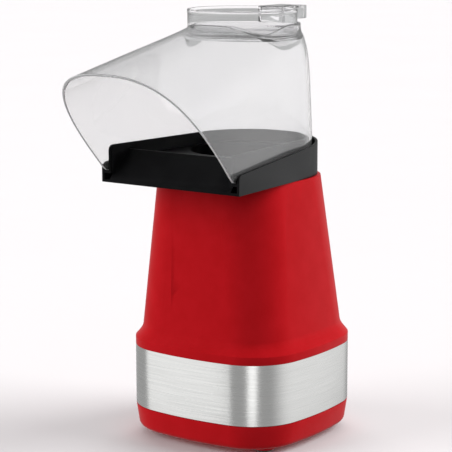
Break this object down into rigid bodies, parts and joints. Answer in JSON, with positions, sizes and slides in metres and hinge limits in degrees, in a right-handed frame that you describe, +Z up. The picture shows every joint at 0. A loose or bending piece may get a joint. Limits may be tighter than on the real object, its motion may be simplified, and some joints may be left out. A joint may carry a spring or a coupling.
{
  "type": "popcorn maker",
  "caption": "Hot-air popcorn maker: red body on a stainless band, black chute tray, clear hood and measuring cup, motor fan and heater inside.",
  "frame": {"origin": "on the ground, under the middle of the whole machine", "axes": "+Z up, -Y towards the hood's mouth, +X to the machine's right seen from its front"},
  "size_m": [0.1624, 0.2695, 0.36],
  "materials": {
    "red_plastic": "satin",
    "rubber_pad": "matt",
    "screw_steel": "plated",
    "band_steel": "brushed",
    "black_plastic": "satin",
    "clear_plastic": "clear",
    "chamber_aluminium": "spun",
    "silicone": "matt",
    "zinc_sheet": "galvanised",
    "mica": "flaky",
    "heater_wire": "bright",
    "grey_plastic": "moulded",
    "thermostat_metal": "pressed",
    "motor_iron": "laminated",
    "board_laminate": "phenolic",
    "diode_black": "moulded",
    "lead_insulation": "smooth"
  },
  "bodies": {
    "root": {"base_screws": "screw_steel", "base_tray": "red_plastic", "bracket_screws": "screw_steel", "capacitor": "grey_plastic", "chamber_gasket": "silicone", "cord_gland": "black_plastic", "diodes": "diode_black", "fan_duct": "grey_plastic", "foot_pads": "rubber_pad", "heat_duct": "zinc_sheet", "heater_cards": "mica", "heater_coil": "heater_wire", "housing": "red_plastic", "internal_leads": "lead_insulation", "lower_bush": "heater_wire", "motor_bracket": "zinc_sheet", "motor_can": "zinc_sheet", "motor_end_cap": "grey_plastic", "motor_magnets": "motor_iron", "motor_screws": "screw_steel", "popping_chamber": "chamber_aluminium", "rectifier_board": "board_laminate", "switch_body": "black_plastic", "terminal_block": "grey_plastic", "thermal_fuse": "thermostat_metal", "thermostat": "thermostat_metal", "trim_band": "band_steel", "upper_bush": "heater_wire"},
    "fan": {"fan_impeller": "grey_plastic", "fan_collar": "screw_steel", "motor_shaft": "screw_steel", "motor_rotor": "motor_iron", "commutator": "heater_wire"},
    "rocker": {"switch_rocker": "black_plastic"},
    "tray": {"chute_tray": "black_plastic"},
    "hood": {"hood": "clear_plastic"},
    "cup": {"measuring_cup": "clear_plastic"}
  },
  "joints": [
    {"name": "tray_lift", "type": "slide", "parent": "root", "child": "tray", "axis": [0, 0, 1], "range_m": [0, 0.05]},
    {"name": "hood_lift", "type": "slide", "parent": "tray", "child": "hood", "axis": [0, 0, 1], "range_m": [0, 0.06]},
    {"name": "cup_lift", "type": "slide", "parent": "hood", "child": "cup", "axis": [0, 0, 1], "range_m": [0, 0.06]},
    {"name": "rocker_switch", "type": "hinge", "parent": "root", "child": "rocker", "pos_m": [0, 0.13125, 0.056], "axis": [1, 0, 0], "range_deg": [0, 20]},
    {"name": "fan_spin", "type": "hinge", "parent": "root", "child": "fan", "pos_m": [0, 0.0526, 0.07], "axis": [0, 0, 1], "continuous": true}
  ]
}
